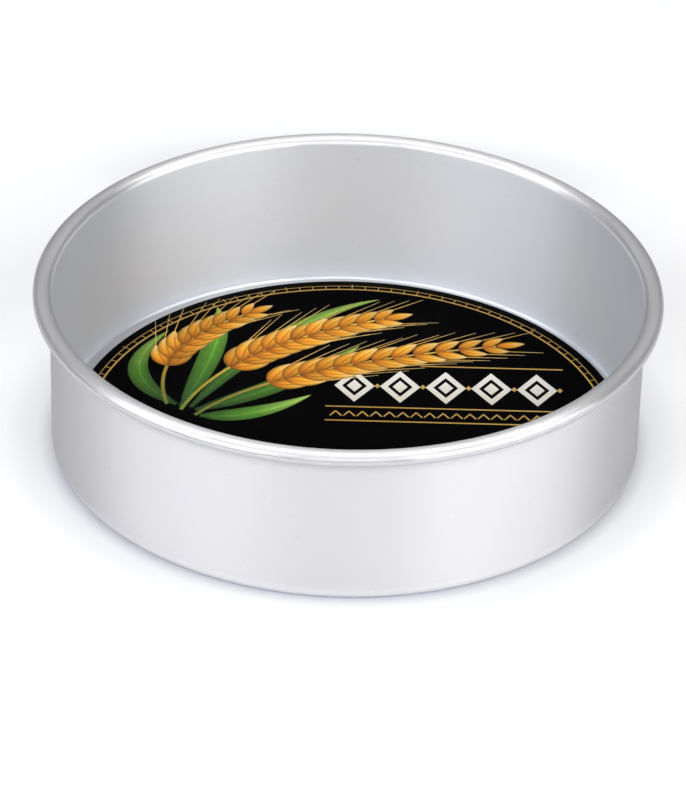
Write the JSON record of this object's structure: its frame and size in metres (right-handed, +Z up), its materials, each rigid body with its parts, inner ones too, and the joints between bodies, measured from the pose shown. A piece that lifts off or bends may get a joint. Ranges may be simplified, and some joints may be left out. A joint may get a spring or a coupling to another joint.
{
  "type": "loose-base cake tin",
  "caption": "Round straight-sided cake tin with a rolled rim and an inward ledge at the bottom, a loose flat base that lifts out, and a printed card insert lying on the base.",
  "frame": {"origin": "middle of the flat underside of the ledge, which the tin stands on", "axes": "+Z up along the tin's axis, -Y towards the viewer in the picture, +X to the viewer's right"},
  "size_m": [0.256, 0.256, 0.071],
  "materials": {
    "satin_aluminium": "satin anodised, spun grain round the axis",
    "printed_card": "matt black print on stiff card"
  },
  "bodies": {
    "wall": {"tin_wall": "satin_aluminium"},
    "base": {"loose_base": "satin_aluminium"},
    "card": {"label_card": "printed_card"}
  },
  "joints": [
    {"name": "base_lift", "type": "slide", "parent": "wall", "child": "base", "axis": [0, 0, 1], "range_m": [0, 0.1]},
    {"name": "card_lift", "type": "slide", "parent": "base", "child": "card", "axis": [0, 0, 1], "range_m": [0, 0.1]}
  ]
}
